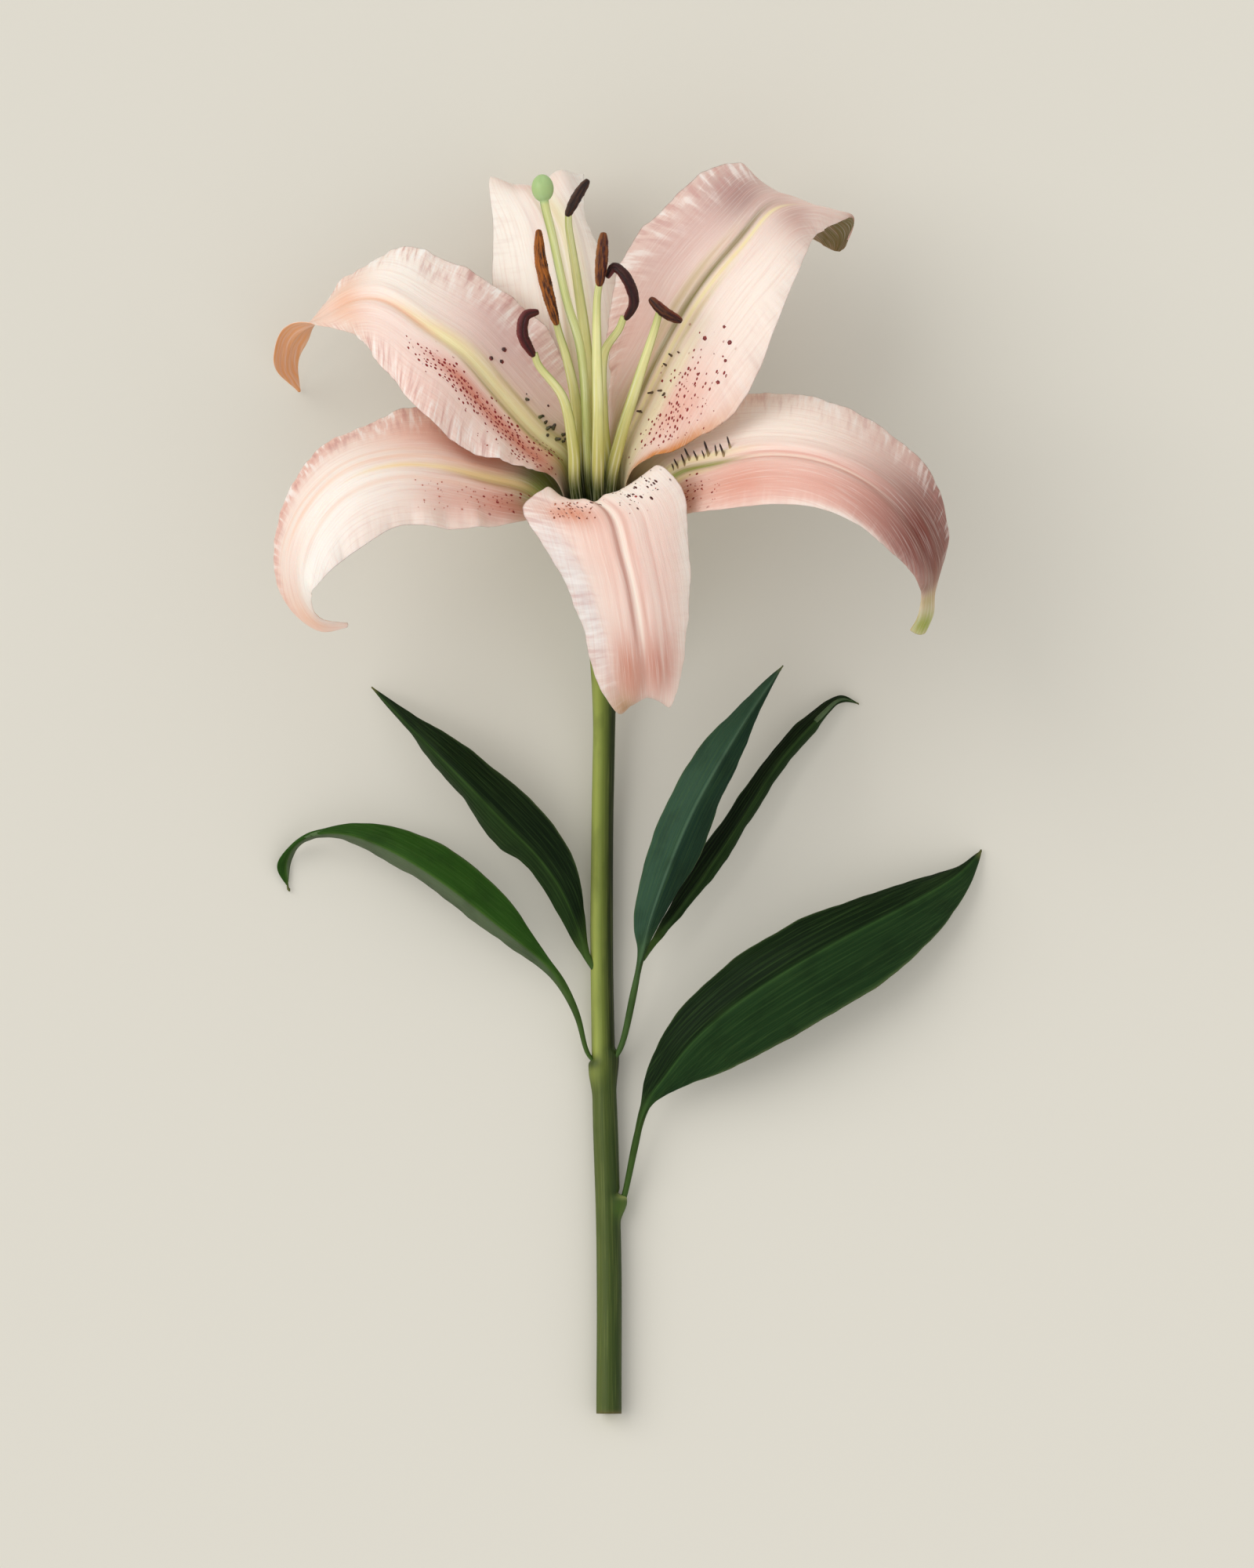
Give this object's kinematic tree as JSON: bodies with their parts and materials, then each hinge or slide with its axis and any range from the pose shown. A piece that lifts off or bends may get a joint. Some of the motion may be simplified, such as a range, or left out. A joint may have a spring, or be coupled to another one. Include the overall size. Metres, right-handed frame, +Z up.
{
  "type": "cut lily",
  "caption": "Cut oriental lily lying on its side: an open recurved flower with long stamens and a style on a straight leafy stem.",
  "frame": {"origin": "centre of the bounding box on the surface that the lily lies on", "axes": "+Z up from the surface; +Y along the stem from its cut end to the flower; +X to the right seen from above with the flower at the top"},
  "size_m": [0.2006, 0.3522, 0.097],
  "materials": {
    "petal": "satin",
    "stem": "satin",
    "leaf": "satin",
    "filament": "satin",
    "anther": "matte",
    "pistil": "satin"
  },
  "bodies": {
    "root": {"stem": "stem", "sepal_top": "petal", "petal_upper_right": "petal", "sepal_right": "petal", "petal_bottom": "petal", "sepal_left": "petal", "petal_upper_left": "petal", "pistil": "pistil", "filament_1": "filament", "anther_1": "anther", "filament_2": "filament", "anther_2": "anther", "filament_3": "filament", "anther_3": "anther", "filament_4": "filament", "anther_4": "anther", "filament_5": "filament", "anther_5": "anther", "filament_6": "filament", "anther_6": "anther", "leaf_upper_left": "leaf", "leaf_lower_left": "leaf", "leaf_upper_right": "leaf", "leaf_narrow_right": "leaf", "leaf_lower_right": "leaf"}
  },
  "joints": []
}
